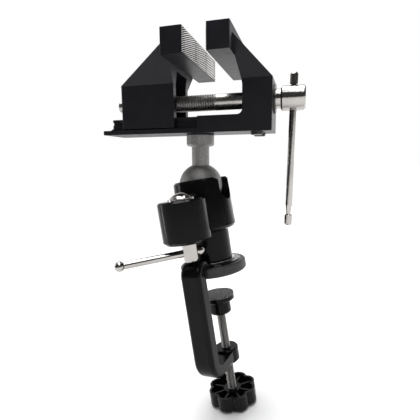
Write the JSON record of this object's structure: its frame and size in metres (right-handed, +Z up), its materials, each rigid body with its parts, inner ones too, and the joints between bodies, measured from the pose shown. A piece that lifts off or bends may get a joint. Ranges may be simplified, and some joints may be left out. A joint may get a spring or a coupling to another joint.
{
  "type": "bench vise",
  "caption": "Clamp-on bench vise: a small two-jaw vise on a locking ball joint, over a C-clamp with a star knob.",
  "frame": {"origin": "centre of the foot's underside, the face that rests on top of the bench", "axes": "+Z up along the post and the clamp screw; the clamp's spine is on the -Y side, the ball socket's notch opens to +X"},
  "size_m": [0.1294, 0.0968, 0.2337],
  "materials": {
    "black_enamel": "glossy black enamel on castings",
    "black_satin": "satin blue-black coating on the vise castings",
    "cast_aluminium": "as-cast, slightly grainy",
    "steel": "plated turned steel",
    "nickel": "bright nickel plate",
    "black_steel": "blackened steel",
    "rubber": "moulded black rubber",
    "pad_rubber": "speckled pressed rubber",
    "black_plastic": "glossy moulded plastic",
    "nylon": "natural nylon",
    "brass": "plain brass"
  },
  "bodies": {
    "clamp": {"clamp_frame": "black_enamel", "foot_pad": "rubber", "friction_washer": "steel"},
    "post": {"socket_head": "black_enamel", "swivel_screw": "black_steel", "ball_seat": "nylon", "pressure_pin": "brass", "draw_bolt": "nickel", "bolt_washer": "nickel"},
    "locking_nut": {"lock_nut": "nickel"},
    "locking_bar": {"lock_bar": "nickel", "lock_bar_balls": "nickel"},
    "ball": {"ball_stud": "cast_aluminium"},
    "vise": {"vise_base": "black_satin", "bed_plate": "black_satin", "stud_screw": "black_steel", "plate_screws": "black_steel", "thrust_washer": "black_steel"},
    "jaw": {"moving_jaw": "black_satin"},
    "screw": {"lead_screw": "steel", "screw_head": "nickel", "head_pin": "steel", "screw_collar": "nickel", "retaining_ring": "black_steel"},
    "handle": {"tommy_bar": "nickel", "tommy_bar_caps": "nickel"},
    "pressure_pad": {"swivel_pad": "black_enamel", "pad_face": "pad_rubber"},
    "clamp_spindle": {"clamp_screw": "steel", "star_knob": "black_plastic", "knob_nut": "steel"}
  },
  "joints": [
    {"name": "post_swivel", "type": "hinge", "parent": "clamp", "child": "post", "pos_m": [0, 0, 0.007], "axis": [0, 0, 1], "continuous": true},
    {"name": "locking_nut_turn", "type": "hinge", "parent": "post", "child": "locking_nut", "pos_m": [0, -0.0268, 0.02], "axis": [0, 0, 1], "range_deg": [-85, 5]},
    {"name": "locking_bar_slide", "type": "slide", "parent": "locking_nut", "child": "locking_bar", "axis": [0.7314, 0.682, 0], "range_m": [0, 0.03]},
    {"name": "ball_tilt", "type": "hinge", "parent": "post", "child": "ball", "pos_m": [0, 0, 0.057], "axis": [0, 1, 0], "range_deg": [-40, 26]},
    {"name": "vise_spin", "type": "hinge", "parent": "ball", "child": "vise", "pos_m": [0, 0, 0.057], "axis": [0.1616, 0, 0.9869], "continuous": true},
    {"name": "vise_screw_turn", "type": "hinge", "parent": "vise", "child": "screw", "pos_m": [0.05679, 0.00954, 0.10009], "axis": [0.9687, 0.1908, -0.1586], "range_deg": [-3150, 4830]},
    {"name": "jaw_slide", "type": "slide", "parent": "vise", "child": "jaw", "axis": [0.9687, 0.1908, -0.1586], "range_m": [-0.02, 0.013]},
    {"name": "tommy_bar_slide", "type": "slide", "parent": "screw", "child": "handle", "axis": [0.1785, 0.0033, 0.9839], "range_m": [0, 0.06]},
    {"name": "pad_lift", "type": "slide", "parent": "clamp", "child": "pressure_pad", "axis": [0, 0, 1], "range_m": [-0.023, 0.015]},
    {"name": "knob_turn", "type": "hinge", "parent": "pressure_pad", "child": "clamp_spindle", "pos_m": [0, 0, -0.06], "axis": [0, 0, 1], "range_deg": [-8310, 5430]}
  ],
  "couplings": [
    {"joint": "vise_screw_turn", "follows": "jaw_slide", "rad_per_m": -4188.8},
    {"joint": "knob_turn", "follows": "pad_lift", "rad_per_m": 6283.2}
  ]
}
